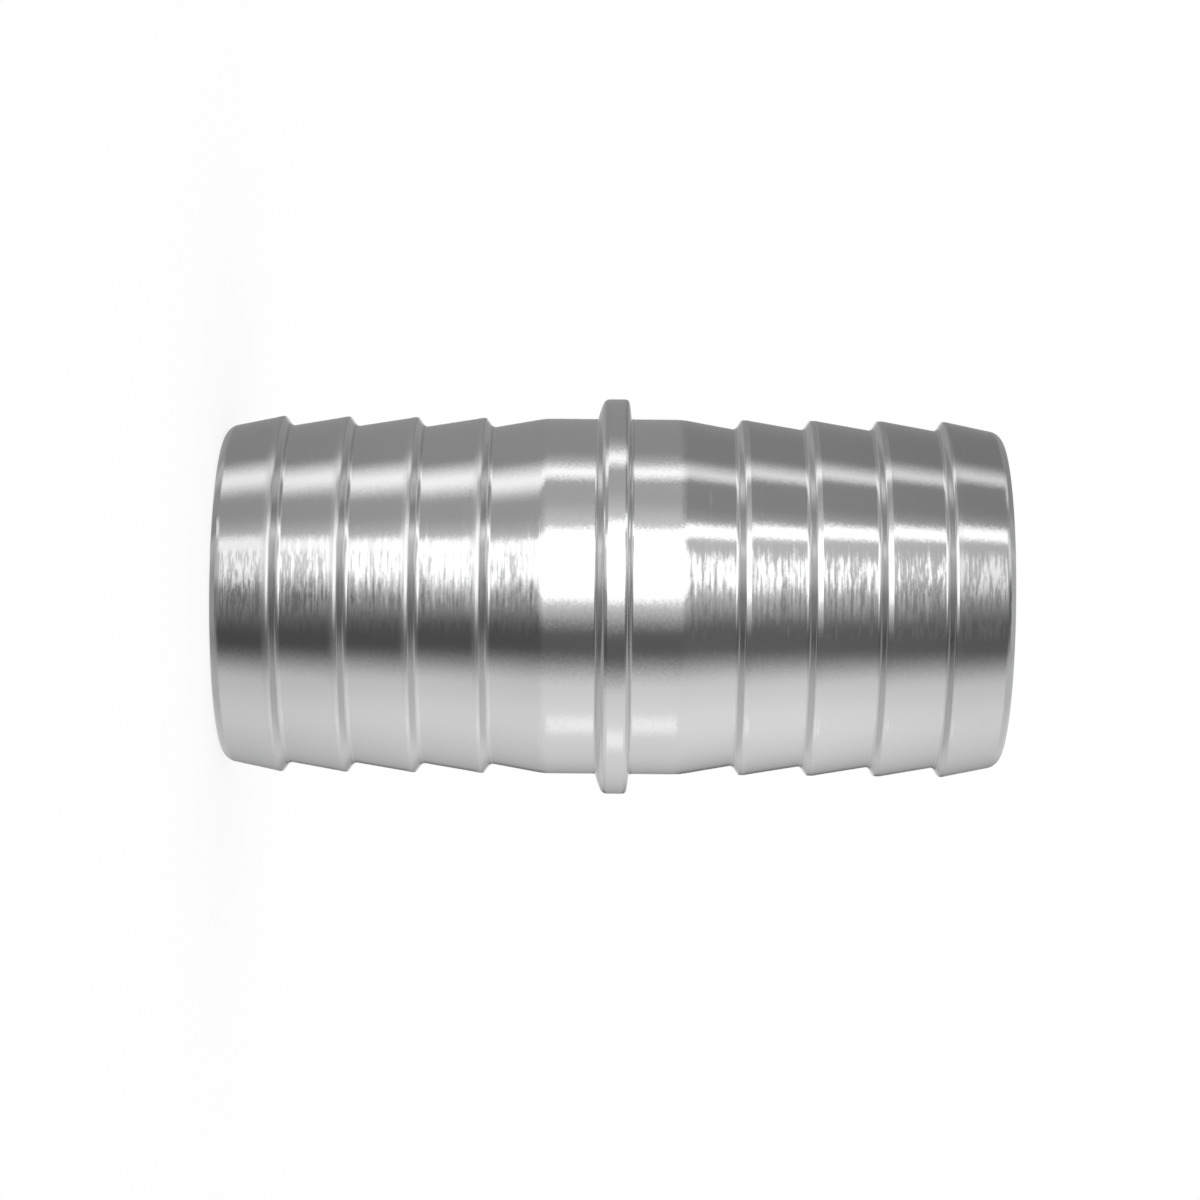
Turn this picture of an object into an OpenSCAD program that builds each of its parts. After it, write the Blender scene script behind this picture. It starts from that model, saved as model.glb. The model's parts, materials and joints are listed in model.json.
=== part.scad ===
// Double-ended barbed hose connector, turned from one bar
// It stands on one end face, with its axis along +Z

/* [Bore] */
// Diameter of the straight bore from end to end
bore_d = 27; // [18:0.5:28]
// Chamfer at each mouth of the bore
bore_chamfer = 0.6; // [0.2:0.1:0.8]

/* [Collar] */
// Diameter of the stop collar in the middle
collar_d = 37.8; // [36:0.2:50]
// Width of the collar at its foot
collar_w = 3; // [2.4:0.2:8]
// How far each flank leans in between foot and rim
collar_draft = 0.3; // [0:0.05:0.5]
// Radius of the collar's two outer edges
collar_edge_r = 0.45; // [0.1:0.05:0.6]
// Radius of the fillet at the collar's foot
collar_foot_r = 0.25; // [0.1:0.05:0.6]

/* [Smooth seats] */
// Diameter of the smooth seat on each side of the collar
seat_d = 34; // [33:0.1:35.5]
// Length of each smooth seat, fillet included
seat_l = 5; // [2:0.5:15]

/* [Barbs] */
// Number of barbs on each end
barb_count = 4; // [1:1:8]
// Distance from one barb to the next
barb_pitch = 6.5; // [3:0.1:12]
// Distance from the last but one barb to the outermost, which sits a little closer
end_pitch = 6.2; // [3:0.1:12]
// Diameter over the barbs' crests
crest_d = 34; // [33:0.1:38]
// Width of the flat land on each crest
crest_land = 0.15; // [0.05:0.05:0.5]
// Diameter at the foot of each back face
root_d = 32.2; // [30:0.1:33.5]
// Length of each back face along the axis
back_l = 0.8; // [0.2:0.1:1.5]
// Length of the taper from a seat down to the first back face
shoulder_l = 5.05; // [2:0.05:12]

/* [Ends] */
// Length from the outermost crest to the end face
lead_l = 5.3; // [3:0.1:12]
// Diameter the lead taper would have at the end face, if the nose were sharp
tip_d = 31.8; // [31.5:0.1:33.5]
// Radius of the rounded nose
nose_r = 1.4; // [0.3:0.1:1.5]

/* [Hidden] */

turn_fn = 180;
arc_steps = 8;
steel = "silver";

bore_r = bore_d / 2;
collar_r = collar_d / 2;
seat_r = seat_d / 2;
crest_r = crest_d / 2;
root_r = root_d / 2;
tip_r = tip_d / 2;

seat_end = collar_w / 2 + seat_l;
first_foot = seat_end + shoulder_l;
last_crest = barb_foot(barb_count - 1) + back_l + crest_land;
half_l = last_crest + lead_l;

// Where a barb's back face starts, counted from the innermost barb
function barb_foot(i) =
    first_foot + i * barb_pitch - (i > 0 && i == barb_count - 1 ? barb_pitch - end_pitch : 0);

// Every outline point is [radius, distance from the connector's middle]

function unit(v) = v / norm(v);

// Points of the arc of radius r that rounds the corner at b, between a and c
function rounded(a, b, c, r) =
    let (
        to_a = unit(a - b),
        to_c = unit(c - b),
        half_angle = acos(to_a * to_c) / 2,
        centre = b + unit(to_a + to_c) * r / sin(half_angle),
        start = b + to_a * r / tan(half_angle) - centre,
        finish = b + to_c * r / tan(half_angle) - centre,
        swing = acos(unit(start) * unit(finish))
    )
    [for (i = [0 : arc_steps])
        centre + (start * sin(swing * (1 - i / arc_steps)) + finish * sin(swing * i / arc_steps))
            / sin(swing)];

// The collar's half, from the middle of its rim down its flank to the seat
function collar_half() =
    let (
        rim = [collar_r, 0],
        edge = [collar_r, collar_w / 2 - collar_draft],
        foot = [seat_r, collar_w / 2],
        seat = [seat_r, seat_end]
    )
    concat(rounded(rim, edge, foot, collar_edge_r), rounded(edge, foot, seat, collar_foot_r), [seat]);

// One barb: the foot of its back face, and both edges of its crest
function barb(i) =
    let (foot = barb_foot(i))
    [
        [root_r, foot],
        [crest_r, foot + back_l],
        [crest_r, foot + back_l + crest_land]
    ];

// The nose, from the lead taper round to the end face
function nose() =
    rounded([crest_r, last_crest], [tip_r, half_l], [bore_r, half_l], nose_r);

// The bore's mouth, from the end face into the bore
function mouth() = [
    [bore_r + bore_chamfer, half_l],
    [bore_r, half_l - bore_chamfer]
];

function half_section() = concat(
    collar_half(),
    [for (i = [0 : barb_count - 1]) each barb(i)],
    nose(),
    mouth()
);

// The other half is the same outline, turned over and read backwards
function mirrored(points) =
    [for (i = [len(points) - 1 : -1 : 0]) [points[i][0], -points[i][1]]];

module connector_body() {
    color(steel)
        translate([0, 0, half_l])
            rotate_extrude($fn = turn_fn)
                polygon(concat(half_section(), mirrored(half_section())));
}

connector_body();
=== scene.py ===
"""Barbed hose connector, turned from bright steel, in a small product studio."""
import json
import math

import bpy
from mathutils import Matrix, Vector

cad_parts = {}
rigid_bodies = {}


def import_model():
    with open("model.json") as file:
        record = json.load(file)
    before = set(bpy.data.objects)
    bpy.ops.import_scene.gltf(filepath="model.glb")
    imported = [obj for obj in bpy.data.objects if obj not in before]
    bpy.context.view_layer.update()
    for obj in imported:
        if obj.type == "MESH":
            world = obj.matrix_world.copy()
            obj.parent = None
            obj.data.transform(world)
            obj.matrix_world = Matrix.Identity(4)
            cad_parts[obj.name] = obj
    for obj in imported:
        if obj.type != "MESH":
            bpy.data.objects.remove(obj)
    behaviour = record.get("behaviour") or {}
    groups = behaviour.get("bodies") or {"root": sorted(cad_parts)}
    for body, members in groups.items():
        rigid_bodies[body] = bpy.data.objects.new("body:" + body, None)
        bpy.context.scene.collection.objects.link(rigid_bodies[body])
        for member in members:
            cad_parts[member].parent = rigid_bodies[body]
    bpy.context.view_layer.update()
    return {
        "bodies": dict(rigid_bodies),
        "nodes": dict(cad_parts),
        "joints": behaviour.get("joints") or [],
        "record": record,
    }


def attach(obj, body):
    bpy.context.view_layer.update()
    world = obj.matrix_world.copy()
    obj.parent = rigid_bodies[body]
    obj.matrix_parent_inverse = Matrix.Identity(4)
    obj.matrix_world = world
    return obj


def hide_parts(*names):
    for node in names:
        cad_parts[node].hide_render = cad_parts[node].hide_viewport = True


MM = 0.001

# Sizes of the solid in millimetres, as in the part's source
BORE_R = 13.5
BORE_CHAMFER = 0.6
COLLAR_R = 18.9
COLLAR_W = 3.0
SEAT_R = 17.0
SEAT_L = 5.0
BARB_PITCH = 6.5
END_PITCH = 6.2
CREST_R = 17.0
ROOT_R = 16.1
BACK_L = 0.8
SHOULDER_L = 5.05
LAND_L = 0.15
LEAD_L = 5.3
TIP_R = 15.9
NOSE_R = 1.4

SEAT_END = COLLAR_W / 2 + SEAT_L
FIRST_FOOT = SEAT_END + SHOULDER_L
FEET = (
    FIRST_FOOT,
    FIRST_FOOT + BARB_PITCH,
    FIRST_FOOT + 2 * BARB_PITCH,
    FIRST_FOOT + 2 * BARB_PITCH + END_PITCH,
)
HALF_L = FEET[-1] + BACK_L + LAND_L + LEAD_L
FLANK_R = (SEAT_R + COLLAR_R) / 2

# Small roundings that only the visual model has, in millimetres
SEAT_END_ROUND = 7.0
MOUTH_ROUND = 0.08
CREST_ROUND = 0.22

# Each end as the tool left it, in millimetres: how far the collar's rim and foot lie from mid-length and
# their roundings, the rounding at the feet of the back faces, and from the collar outward the length of
# each back face and the flat on each crest
LOWER_END = dict(
    collar=(0.94, 1.53),
    collar_rounds=(0.72, 0.25),
    foot_round=0.55,
    backs=(0.65, 0.65, 0.65, 0.65),
    lands=(0.33, 0.33, 0.33, 0.28),
)
UPPER_END = dict(
    collar=(1.45, 1.66),
    collar_rounds=(0.45, 0.30),
    foot_round=0.45,
    backs=(0.60, 0.60, 0.53, 0.56),
    lands=(0.53, 0.58, 0.58, 0.30),
)

# Fineness of the turned mesh
TURN_STEPS = 288
ARC_STEP = math.radians(8)

# How far a band of the mesh may lie from mid-flank, or from the end face, to have its finish
FLANK_BAND = 0.4
FACE_BAND = 0.02

# Camera, lying on its side as the photograph was taken, so that the axis runs across the picture
PICTURE_PX = 1200
SENSOR_MM = 36
CAMERA_DISTANCE = 0.340
FOCAL_PX = 3547
CENTRE_X_PX = 612.7
CENTRE_Y_PX = 596.5
AXIS_TILT_DEG = 0.53
CLIP = (0.01, 20)


# Outline of the connector

def outward(way):
    """Normal on the open side of a stretch that runs from the collar to the end face."""
    return Vector((way[1], -way[0]))


def corner_rings(before, here, after, rounding):
    """Rings round one corner of the outline, each a pair of place and normal."""
    way_in = (here - before).normalized()
    way_out = (after - here).normalized()
    bend = math.atan2(way_in.cross(way_out), way_in.dot(way_out))
    start = here - way_in * rounding * math.tan(abs(bend) / 2)
    side = math.copysign(1, bend)
    centre = start + Vector((-way_in[1], way_in[0])) * side * rounding
    steps = max(3, math.ceil(abs(bend) / ARC_STEP))
    rings = []
    for step in range(steps + 1):
        turn = Matrix.Rotation(bend * step / steps, 2)
        rings.append((centre + turn @ (start - centre), outward(turn @ way_in)))
    return rings


def half_corners(end):
    """Corners of half the outline, from the collar's rim over the barbs and into the bore."""
    rim, foot = end["collar"]
    rim_round, foot_round = end["collar_rounds"]
    corners = [
        ((COLLAR_R, 0), 0),
        ((COLLAR_R, rim), rim_round),
        ((SEAT_R, foot), foot_round),
        ((SEAT_R, SEAT_END), SEAT_END_ROUND),
    ]
    for foot, back, land in zip(FEET, end["backs"], end["lands"]):
        crest = foot + back
        corners += [
            ((ROOT_R, foot), end["foot_round"]),
            ((CREST_R, crest), CREST_ROUND),
            ((CREST_R, crest + land), CREST_ROUND),
        ]
    corners += [
        ((TIP_R, HALF_L), NOSE_R),
        ((BORE_R + BORE_CHAMFER, HALF_L), MOUTH_ROUND),
        ((BORE_R, HALF_L - BORE_CHAMFER), MOUTH_ROUND),
        ((BORE_R, 0), 0),
    ]
    return corners


def half_rings(end):
    """Rings of half the outline, without its first and last point, which lie at mid-length."""
    corners = half_corners(end)
    points = [Vector(point) for point, _ in corners]
    rings = []
    for i in range(1, len(corners) - 1):
        rings += corner_rings(points[i - 1], points[i], points[i + 1], corners[i][1])
    return rings


def closed_outline():
    """All rings of the connector, once round its section, as (radius, height, normal)."""
    upper = half_rings(UPPER_END)
    lower = half_rings(LOWER_END)
    rings = [(place[0], HALF_L + place[1], normal[0], normal[1]) for place, normal in upper]
    for place, normal in reversed(lower):
        rings.append((place[0], HALF_L - place[1], normal[0], -normal[1]))
    return rings


FINISHES = ("polished_steel", "turned_steel", "bored_steel", "faced_steel")


def zone_of(radius_a, height_a, radius_b, height_b):
    """Which finish a band between two rings has, as its place in FINISHES."""
    radius = (radius_a + radius_b) / 2
    if abs(radius - FLANK_R) < FLANK_BAND:
        return FINISHES.index("faced_steel")
    along = abs((height_a + height_b) / 2 - HALF_L)
    if radius < BORE_R + BORE_CHAMFER or along > HALF_L - FACE_BAND:
        return FINISHES.index("bored_steel")
    if along < SEAT_END:
        return FINISHES.index("polished_steel")
    return FINISHES.index("turned_steel")


def connector_mesh():
    """The outline turned round the axis, with its own normals and a finish for each band."""
    rings = closed_outline()
    mesh = bpy.data.meshes.new("connector")
    angles = [2 * math.pi * step / TURN_STEPS for step in range(TURN_STEPS)]
    vertices = []
    normals = []
    for radius, height, normal_r, normal_z in rings:
        for angle in angles:
            c = math.cos(angle)
            s = math.sin(angle)
            vertices.append((radius * c * MM, radius * s * MM, height * MM))
            normals.append((normal_r * c, normal_r * s, normal_z))
    faces = []
    zones = []
    for i, ring in enumerate(rings):
        after = (i + 1) % len(rings)
        zone = zone_of(*ring[:2], *rings[after][:2])
        for j in range(TURN_STEPS):
            k = (j + 1) % TURN_STEPS
            faces.append((
                i * TURN_STEPS + j,
                i * TURN_STEPS + k,
                after * TURN_STEPS + k,
                after * TURN_STEPS + j,
            ))
            zones.append(zone)
    mesh.from_pydata(vertices, [], faces)
    mesh.polygons.foreach_set("use_smooth", [True] * len(faces))
    mesh.polygons.foreach_set("material_index", zones)
    mesh.normals_split_custom_set_from_vertices(normals)
    mesh.update()
    return mesh


# Short calls for node trees

class Wiring:
    """Each call adds a node, fills or links its inputs, and returns its output."""

    def __init__(self, tree):
        self.tree = tree
        tree.nodes.clear()

    def add(self, kind, **settings):
        node = self.tree.nodes.new(kind)
        for name, value in settings.items():
            setattr(node, name, value)
        return node

    def fill(self, node, slot, value):
        if isinstance(value, bpy.types.NodeSocket):
            self.tree.links.new(value, node.inputs[slot])
        else:
            node.inputs[slot].default_value = value

    def math(self, operation, *values, clamp=False):
        node = self.add("ShaderNodeMath", operation=operation, use_clamp=clamp)
        for i, value in enumerate(values):
            self.fill(node, i, value)
        return node.outputs[0]

    def smooth(self, value, low, high, to_low=0.0, to_high=1.0):
        """A smooth step from to_low to to_high while value goes from low to high."""
        node = self.add("ShaderNodeMapRange", interpolation_type="SMOOTHSTEP")
        for i, item in enumerate((value, low, high, to_low, to_high)):
            self.fill(node, i, item)
        return node.outputs[0]

    def even(self, value, low, high, to_low=0.0, to_high=1.0):
        """A straight slope from to_low to to_high while value goes from low to high."""
        node = self.add("ShaderNodeMapRange")
        for i, item in enumerate((value, low, high, to_low, to_high)):
            self.fill(node, i, item)
        return node.outputs[0]

    def mix(self, factor, below, above):
        node = self.add("ShaderNodeMix", data_type="FLOAT")
        for i, value in enumerate((factor, below, above)):
            self.fill(node, (0, 2, 3)[i], value)
        return node.outputs[0]

    def noise(self, vector, detail=1.0, output="Fac"):
        node = self.add("ShaderNodeTexNoise")
        self.fill(node, "Vector", vector)
        self.fill(node, "Scale", 1.0)
        self.fill(node, "Detail", detail)
        return node.outputs[output]

    def vector(self, operation, *values, scale=None):
        node = self.add("ShaderNodeVectorMath", operation=operation)
        for i, value in enumerate(values):
            self.fill(node, i, value)
        if scale is not None:
            self.fill(node, "Scale", scale)
        return node.outputs["Vector"]

    def stretched(self, vector, across, along):
        """Coordinates in which one unit is `across` metres round the axis and `along` metres along it."""
        return self.vector("DIVIDE", vector, (across, across, along))


# Finishes

def steel_shader(wiring, colour, roughness, anisotropic=0.0):
    """A plain metal surface, linked to the material's output."""
    shader = wiring.add("ShaderNodeBsdfPrincipled")
    wiring.fill(shader, "Base Color", (*colour, 1))
    wiring.fill(shader, "Metallic", 1.0)
    wiring.fill(shader, "Roughness", roughness)
    if anisotropic:
        tangent = wiring.add("ShaderNodeTangent", direction_type="RADIAL", axis="Z")
        wiring.fill(shader, "Anisotropic", anisotropic)
        wiring.fill(shader, "Anisotropic Rotation", QUARTER_TURN)
        wiring.fill(shader, "Tangent", tangent.outputs[0])
    output = wiring.add("ShaderNodeOutputMaterial")
    wiring.fill(output, "Surface", shader.outputs[0])
    return shader


def bumped(wiring, field, height):
    """Shading normals of a surface that rises by `height` metres as the field goes from 0 to 1."""
    bump = wiring.add("ShaderNodeBump")
    wiring.fill(bump, "Strength", 1.0)
    wiring.fill(bump, "Distance", height)
    wiring.fill(bump, "Height", field)
    return bump.outputs[0]


def tilted(wiring, place, layers, uneven, coarse=1.0):
    """Shading normals that lean along the axis, as feed marks do, and a little any way.

    Each layer is a field from 0 to 1 and its slope.
    """
    lean = 0.0
    for field, slope in layers:
        lean = wiring.math("MULTIPLY_ADD", wiring.math("SUBTRACT", field, 0.5), 2 * slope, lean)
    lean = wiring.math("MULTIPLY", lean, coarse)
    along = wiring.add("ShaderNodeCombineXYZ")
    wiring.fill(along, 2, lean)
    straight = wiring.add("ShaderNodeNewGeometry").outputs["Normal"]
    leaning = wiring.vector("ADD", straight, along.outputs[0])
    field = wiring.noise(wiring.stretched(place, UNEVEN_SIZE, UNEVEN_SIZE), output="Color")
    any_way = wiring.vector("SCALE", wiring.vector("SUBTRACT", field, (0.5, 0.5, 0.5)), scale=uneven)
    return wiring.vector("NORMALIZE", wiring.vector("ADD", leaning, any_way))


def new_material(name):
    material = bpy.data.materials.new(name)
    material.use_nodes = True
    return material, Wiring(material.node_tree)


STEEL = (0.75, 0.75, 0.755)

# Roughness of each finish, and of the barbs' back faces
ROUGHNESS = 0.11
FLANK_ROUGHNESS = 0.30
BACK_ROUGHNESS = 0.20
BORED_ROUGHNESS = 0.25
BORED_ANISOTROPY = 0.5
QUARTER_TURN = 0.25

# The barbs towards the ends are more coarsely turned and are coloured darker there as painted shade, over
# these distances from mid-length in millimetres
# Painted shade: the darker steel colour that the barbs take on towards the ends
END_SHADE_STEEL = (0.675, 0.675, 0.68)
END_SHADE_FROM = 19
END_SHADE_TO = 34
COARSE_FROM = 22
COARSE_TO = 34
COARSE = (1.0, 1.3)

# Crests are rubbed rougher, most on the lower end, fading over this distance in millimetres down the ramp
WORN_ROUGHNESS = (0.26, 0.16)
WORN_L = 0.7

# How far before its foot the back face's finish begins, and between which distances before the solid's
# crest it gives way to the crest's, in millimetres
BACK_FADE = 0.3
CREST_FADE = (0.35, 0.15)

# Fine unevenness in every direction: its size in metres, and its slope where polished and where turned
UNEVEN_SIZE = 0.00026
POLISHED_UNEVEN = 0.045
TURNED_UNEVEN = 0.03

# Marks of the tool: their size round the axis and along it in metres, and their slope or height in metres
POLISH_MARKS = (0.0009, 0.00035)
POLISH_SLOPE = 0.03
STREAKS = (0.006, 0.00030)
STREAK_DETAIL = 1.5
STREAK_SLOPE = 0.085
GRAIN = (0.0014, 0.00026)
GRAIN_SLOPE = 0.065
BORE_RINGS = (0.010, 0.00025)
BORE_DETAIL = 2.0
BORE_RING_HEIGHT = 0.000008


def smooth_material(name, roughness):
    """Steel with only a trace of the tool."""
    material, wiring = new_material(name)
    place = wiring.add("ShaderNodeTexCoord").outputs["Object"]
    marks = wiring.noise(wiring.stretched(place, *POLISH_MARKS))
    shader = steel_shader(wiring, STEEL, roughness)
    wiring.fill(shader, "Normal", tilted(wiring, place, [(marks, POLISH_SLOPE)], POLISHED_UNEVEN))
    return material


def polished_material():
    """Seats and the collar's rim."""
    return smooth_material("polished_steel", ROUGHNESS)


def flank_material():
    """The collar's flanks: faced, and less bright than its rim."""
    return smooth_material("faced_steel", FLANK_ROUGHNESS)


def barb_roughness(wiring, height, along):
    """Roughness of the barbs: back faces are rougher, and crests are worn a little way down the ramp."""
    on_upper_end = wiring.math("GREATER_THAN", height, HALF_L * MM)
    worn = wiring.mix(on_upper_end, *WORN_ROUGHNESS)
    rough = ROUGHNESS
    for foot in FEET:
        crest = foot + BACK_L
        on_back = wiring.smooth(along, (foot - BACK_FADE) * MM, foot * MM)
        on_crest = wiring.smooth(along, *((crest - fade) * MM for fade in CREST_FADE))
        past_crest = wiring.smooth(along, (crest + LAND_L) * MM, (crest + LAND_L + WORN_L) * MM)
        rough = wiring.mix(wiring.math("SUBTRACT", on_back, on_crest), rough, BACK_ROUGHNESS)
        rough = wiring.mix(wiring.math("SUBTRACT", on_crest, past_crest), rough, worn)
    return rough


def shaded_barb_colour(wiring, along):
    """Colour of the barbs, darker towards the ends as painted shade."""
    end_shade = wiring.add("ShaderNodeMix", data_type="RGBA")
    wiring.fill(end_shade, 0, wiring.even(along, END_SHADE_FROM * MM, END_SHADE_TO * MM))
    wiring.fill(end_shade, 6, (*STEEL, 1))
    wiring.fill(end_shade, 7, (*END_SHADE_STEEL, 1))
    return end_shade.outputs[2]


def turned_material():
    """Barbs, shoulders and leads: fine feed marks round the axis, broken into short streaks."""
    material, wiring = new_material("turned_steel")
    place = wiring.add("ShaderNodeTexCoord").outputs["Object"]
    parts = wiring.add("ShaderNodeSeparateXYZ")
    wiring.fill(parts, 0, place)
    height = parts.outputs[2]
    along = wiring.math("ABSOLUTE", wiring.math("SUBTRACT", height, HALF_L * MM))
    coarse = wiring.even(along, COARSE_FROM * MM, COARSE_TO * MM, *COARSE)
    streaks = wiring.noise(wiring.stretched(place, *STREAKS), STREAK_DETAIL)
    grain = wiring.noise(wiring.stretched(place, *GRAIN))
    shader = steel_shader(wiring, STEEL, ROUGHNESS)
    wiring.fill(shader, "Roughness", barb_roughness(wiring, height, along))
    # Base colour holds painted shade: darker towards the ends
    wiring.fill(shader, "Base Color", shaded_barb_colour(wiring, along))
    layers = [(streaks, STREAK_SLOPE), (grain, GRAIN_SLOPE)]
    wiring.fill(shader, "Normal", tilted(wiring, place, layers, TURNED_UNEVEN, coarse))
    return material


def bored_material():
    """Bore and end faces: plain turning marks."""
    material, wiring = new_material("bored_steel")
    place = wiring.add("ShaderNodeTexCoord").outputs["Object"]
    rings = wiring.noise(wiring.stretched(place, *BORE_RINGS), BORE_DETAIL)
    shader = steel_shader(wiring, STEEL, BORED_ROUGHNESS, BORED_ANISOTROPY)
    wiring.fill(shader, "Normal", bumped(wiring, rings, BORE_RING_HEIGHT))
    return material


def make_connector():
    """The connector, with its materials in the order of FINISHES."""
    connector = bpy.data.objects.new("turned_connector", connector_mesh())
    bpy.context.scene.collection.objects.link(connector)
    for material in (polished_material(), turned_material(), bored_material(), flank_material()):
        connector.data.materials.append(material)
    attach(connector, "root")
    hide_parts("connector_body")
    return connector


# Studio

# Where nothing else is stated, a card goes this far to each side and its sides are this soft, in degrees
FAR_REACH = 70
SOFT_REACH = 20

# Cards and lights round the object, each placed by the slope of the wall in which the camera sees it.
# Angles are in degrees, twice the wall's: round the connector's axis from the camera (0) over the top of
# the picture (90) to the far side (180), or underneath (negative), and sideways along the axis. Three
# values are for what the lower ramps, the seats and the upper ramps see. Soft is the width of the bottom
# edge and of the top edge. Reach is how far a card goes to each side, and hole is how far it leaves the
# middle open. By names the share that moves its bottom and its top.
CARDS = (
    # Far wall, seen along the top edge of the picture
    dict(level=(0.32, 0.33, 0.30), bottom=150, top=400, soft=(50, 10)),
    # Dark room round the camera
    dict(level=(0.087, 0.120, 0.130), bottom=-90, top=30, soft=(10, 20)),
    # Wall between the main light and the lamp
    dict(level=(0.385, 0.45, 0.28), bottom=24, top=(93, 102, 93), soft=(20, 10)),
    # Glow round the main light
    dict(
        level=(0.72, 0.72, 0.58), bottom=(4.5, -14, -3.5), top=(41, 54, 49), soft=((34, 24, 31), 24),
        by=("low", "high"),
    ),
    # Grey card past the lower end
    dict(level=0.30, bottom=-15, top=0, soft=(24, 8), reach=(FAR_REACH, 0), hole=21, soft_reach=10),
    # Dark posts beside the main light
    dict(
        level=(0.12, 0.12, 0.20), bottom=-25, top=10, soft=(10, 16), reach=(28.5, 28.5), hole=25.6,
        soft_reach=4,
    ),
    # Lights beside the posts
    dict(
        level=(1.52, 1.52, 1.22), bottom=(6, 6, 7), top=(35, 35, 29), soft=(20, 8), reach=(35, 40),
        hole=29.7, soft_reach=7,
    ),
    # Bright upper edge of the main light
    dict(level=(1.25, 1.5, 1.6), bottom=(28, 34, 39), top=(36.5, 44.3, 47.7), soft=(4, (7, 6, 6))),
    # Main light
    dict(
        level=1.5, bottom=(20, -3, 14.5), top=(35, 37, 17.5), soft=((14, 8, 14), (6, 6, 12)),
        reach=(24.0, 22.9), soft_reach=5, by=("low", "low"),
    ),
    # Lamp above
    dict(
        level=(1.42, 1.8, 1.11), bottom=(73.6, 83, 83.7), top=(87.6, 90, 92.4),
        soft=((22, 12, 10), (26, 18, 21)),
    ),
    # Table, its brighter middle, the strip of light on it and its dark far part
    dict(level=(0.66, 0.74, 0.72), bottom=-148, top=(-46.5, -47.3, -46.3), soft=(60, 28)),
    dict(level=(0.79, 0.87, 0.87), bottom=(-110, -108, -112), top=-68, soft=(40, 36)),
    dict(
        level=(0.79, 1.13, 0.87), bottom=-98, top=-84, soft=(12, 12), reach=(3.5, 3.5), soft_reach=6,
    ),
    dict(level=(0.14, 0.30, 0.14), bottom=-400, top=(-160, -164, -160), soft=(10, 16)),
)
WALL_LEVEL = (0.31, 0.32, 0.25)

# Sideways angles between which the ramps take over from the seats, for each share
CHANGES = dict(low=(9, 30), high=(4, 19))

# What the barbs' back faces see past the two ends, as pairs for the lower and the upper end
PAST_ENDS = (45, 70)
PAST_WALL = (0.37, 0.345)
PAST_CARDS = (
    dict(level=(0.59, 0.75), bottom=(81, 68), top=(101, 94), soft=(14, 12)),
    dict(level=(0.62, 0.92), bottom=(6, 13), top=(38, 45.5), soft=(16, 22)),
    dict(level=(1.05, 0.92), bottom=(38, 38), top=(51, 45.5), soft=(8, 14)),
    dict(level=(0.24, 0.15), bottom=(-180, -180), top=(6, 13), soft=(16, 22)),
    dict(level=(0.56, 0.62), bottom=(-180, -180), top=(-43.5, -36.5), soft=(44, 38)),
    dict(level=(0.65, 0.70), bottom=(-150, -146), top=(-90, -84), soft=(30, 30)),
    dict(level=(0.42, 0.36), bottom=(-400, -400), top=(-150, -146), soft=(30, 30)),
)

# What the noses see still further round, in pairs again
NOSE_ENDS = (74, 84)
NOSE_CARDS = (
    dict(level=(0.33, 0.47), bottom=(38, 34), top=(56, 62), soft=(8, 14)),
    dict(level=(0.40, 0.52), bottom=(-30, -40), top=(26, 34), soft=(30, 20)),
    dict(level=(0.40, 0.32), bottom=(100, 62), top=(130, 130), soft=(20, 14)),
)

# Straight behind the connector the white backdrop shows in the steel too, within these angles in degrees
BACKDROP = (8, 12)

# White floor: its size in metres, its edges, and the share of its white that is there without light
FLOOR_RADIUS = 3.0
FLOOR_EDGES = 96
FLOOR_GLOW = 0.82


def by_side(wiring, values, shares):
    """The value for a direction: one number, or three for the lower end, square on and the upper end."""
    if not isinstance(values, tuple):
        return values
    lower, middle, upper = values
    lower_share, upper_share = shares
    shifted = wiring.math("MULTIPLY_ADD", lower_share, lower - middle, middle)
    return wiring.math("MULTIPLY_ADD", upper_share, upper - middle, shifted)


def soft_step(wiring, value, at, soft):
    """A smooth step from 0 to 1 round `at`, over `soft` degrees."""
    if isinstance(at, float | int) and isinstance(soft, float | int):
        return wiring.smooth(value, at - soft / 2, at + soft / 2)
    start = wiring.math("MULTIPLY_ADD", soft, -0.5, at)
    finish = wiring.math("MULTIPLY_ADD", soft, 0.5, at)
    return wiring.smooth(value, start, finish)


def between(wiring, sideways, lower, upper, soft):
    """1 between two sideways angles, and 0 past them."""
    past_lower = soft_step(wiring, sideways, -lower, soft)
    past_upper = soft_step(wiring, sideways, upper, soft)
    return wiring.math("SUBTRACT", past_lower, past_upper)


def lay_card(wiring, below, card, round_axis, sideways, all_shares):
    """The level with one of CARDS in front of what is below it."""
    steps = []
    for edge, soft, by in zip(("bottom", "top"), card["soft"], card.get("by", ("high", "high"))):
        soft = by_side(wiring, soft, all_shares[by])
        at = by_side(wiring, card[edge], all_shares[by])
        steps.append(soft_step(wiring, round_axis, at, soft))
    share = wiring.math("SUBTRACT", *steps)
    soft_reach = card.get("soft_reach", SOFT_REACH)
    reach = card.get("reach", (FAR_REACH, FAR_REACH))
    share = wiring.math("MULTIPLY", share, between(wiring, sideways, *reach, soft_reach))
    if "hole" in card:
        inside = between(wiring, sideways, card["hole"], card["hole"], soft_reach)
        share = wiring.math("MULTIPLY", share, wiring.math("SUBTRACT", 1, inside))
    return wiring.mix(share, below, by_side(wiring, card["level"], all_shares["high"]))


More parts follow.
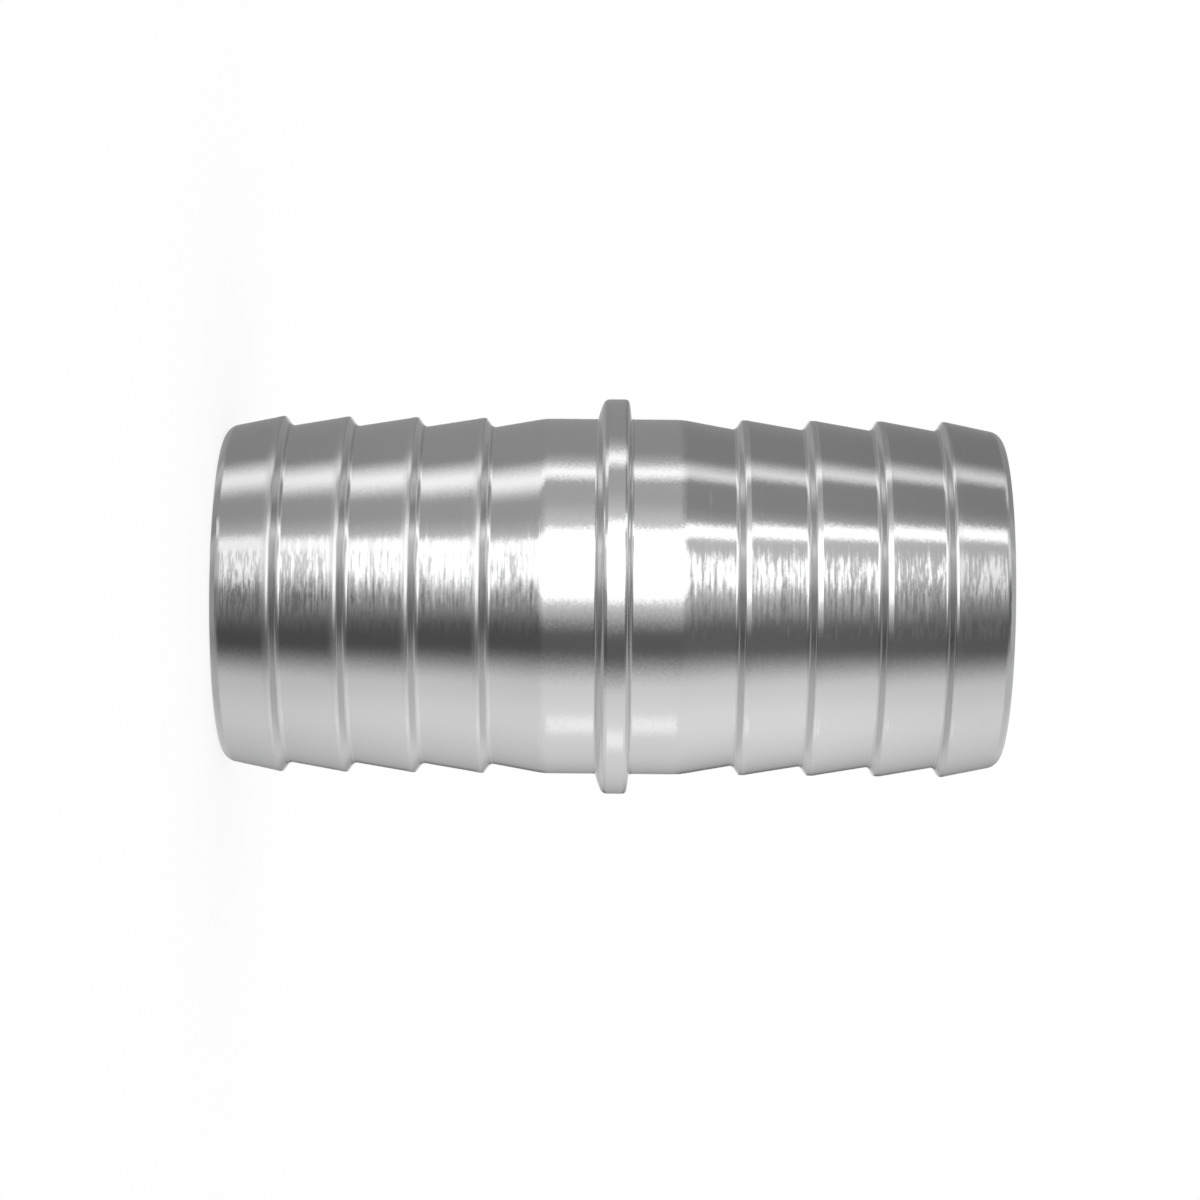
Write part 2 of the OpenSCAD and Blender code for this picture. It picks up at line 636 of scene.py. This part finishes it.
def lay_past_end(wiring, below, round_axis, sideways, end, ends, shade, cards):
    """The level with what lies past the lower (0) or the upper end (1) in front of what is below it.

    It starts with one shade, lays that end's cards over it, and shows outside the sideways angles `ends`.
    """
    for card in cards:
        soft = card["soft"][end]
        above_bottom = soft_step(wiring, round_axis, card["bottom"][end], soft)
        above_top = soft_step(wiring, round_axis, card["top"][end], soft)
        shade = wiring.mix(wiring.math("SUBTRACT", above_bottom, above_top), shade, card["level"][end])
    outward_angle = wiring.math("MULTIPLY", sideways, (-1, 1)[end])
    return wiring.mix(wiring.smooth(outward_angle, *ends), below, shade)


def twice_slope(wiring, rise, run):
    """Twice the angle of a slope, in degrees."""
    return wiring.math("MULTIPLY", wiring.math("DEGREES", wiring.math("ARCTAN2", rise, run)), 2)


def studio_angles(wiring):
    """How far a direction leads away from the camera, and its angles round the axis and sideways."""
    parts = wiring.add("ShaderNodeSeparateXYZ")
    wiring.fill(parts, 0, wiring.add("ShaderNodeTexCoord").outputs["Generated"])
    up = wiring.math("MULTIPLY", parts.outputs[0], -1)
    away = parts.outputs[1]
    facing = wiring.math("SUBTRACT", 1, away)
    square_on = wiring.math("SQRT", wiring.math("MULTIPLY_ADD", up, up, wiring.math("POWER", facing, 2)))
    return away, twice_slope(wiring, up, facing), twice_slope(wiring, parts.outputs[2], square_on)


def studio_level(wiring, away, round_axis, sideways):
    """Brightness of the studio in a direction, as reflections see it."""
    all_shares = {}
    for name, (start, finish) in CHANGES.items():
        shape = wiring.even if name == "low" else wiring.smooth
        all_shares[name] = (shape(sideways, -finish, -start, 1.0, 0.0), shape(sideways, start, finish))
    level = by_side(wiring, WALL_LEVEL, all_shares["high"])
    for card in CARDS:
        level = lay_card(wiring, level, card, round_axis, sideways, all_shares)
    for end in (0, 1):
        past = (round_axis, sideways, end)
        level = lay_past_end(wiring, level, *past, PAST_ENDS, PAST_WALL[end], PAST_CARDS)
        level = lay_past_end(wiring, level, *past, NOSE_ENDS, level, NOSE_CARDS)
    narrow, wide = (math.cos(math.radians(angle)) for angle in BACKDROP)
    return wiring.mix(wiring.smooth(away, wide, narrow), level, 1.0)


def make_studio():
    """World: plain white, with the cards and lights standing in front of it in reflections."""
    world = bpy.data.worlds.new("studio")
    bpy.context.scene.world = world
    world.use_nodes = True
    world.cycles.sampling_method = "NONE"
    wiring = Wiring(world.node_tree)
    level = studio_level(wiring, *studio_angles(wiring))
    reflected = wiring.add("ShaderNodeLightPath").outputs["Is Glossy Ray"]
    background = wiring.add("ShaderNodeBackground")
    wiring.fill(background, "Strength", wiring.mix(reflected, 1.0, level))
    wiring.fill(background, "Color", (1, 1, 1, 1))
    output = wiring.add("ShaderNodeOutputWorld")
    wiring.fill(output, "Surface", background.outputs[0])


def make_floor():
    """A white floor that shows only the connector's own shadow."""
    angles = [2 * math.pi * i / FLOOR_EDGES for i in range(FLOOR_EDGES)]
    ring = [(FLOOR_RADIUS * math.cos(angle), FLOOR_RADIUS * math.sin(angle), 0) for angle in angles]
    mesh = bpy.data.meshes.new("floor")
    mesh.from_pydata(ring, [], [tuple(range(FLOOR_EDGES))])
    floor = bpy.data.objects.new("floor", mesh)
    bpy.context.scene.collection.objects.link(floor)
    material, wiring = new_material("white_floor")
    lit = wiring.add("ShaderNodeBsdfDiffuse")
    wiring.fill(lit, "Color", (1, 1, 1, 1))
    glow = wiring.add("ShaderNodeEmission")
    both = wiring.add("ShaderNodeMixShader")
    wiring.fill(both, 0, FLOOR_GLOW)
    wiring.fill(both, 1, lit.outputs[0])
    wiring.fill(both, 2, glow.outputs[0])
    output = wiring.add("ShaderNodeOutputMaterial")
    wiring.fill(output, "Surface", both.outputs[0])
    floor.data.materials.append(material)
    floor.visible_glossy = False


def make_camera():
    """The photograph's camera, square to the connector's middle."""
    data = bpy.data.cameras.new("camera")
    data.sensor_width = SENSOR_MM
    data.lens = FOCAL_PX / PICTURE_PX * SENSOR_MM
    data.clip_start, data.clip_end = CLIP
    data.shift_x = (PICTURE_PX / 2 - CENTRE_X_PX) / PICTURE_PX
    data.shift_y = (CENTRE_Y_PX - PICTURE_PX / 2) / PICTURE_PX
    camera = bpy.data.objects.new("camera", data)
    bpy.context.scene.collection.objects.link(camera)
    tilt = math.radians(AXIS_TILT_DEG)
    right = Vector((0, 0, 1))
    up = Vector((-1, 0, 0))
    back = Vector((0, -1, 0))
    right_tilted = right * math.cos(tilt) + up * math.sin(tilt)
    up_tilted = up * math.cos(tilt) - right * math.sin(tilt)
    frame = Matrix((right_tilted, up_tilted, back)).transposed().to_4x4()
    frame.translation = Vector((0, -CAMERA_DISTANCE, HALF_L * MM))
    camera.matrix_world = frame
    bpy.context.scene.camera = camera


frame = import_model()
bpy.context.scene.view_settings.view_transform = "Standard"
make_connector()
make_studio()
make_floor()
make_camera()
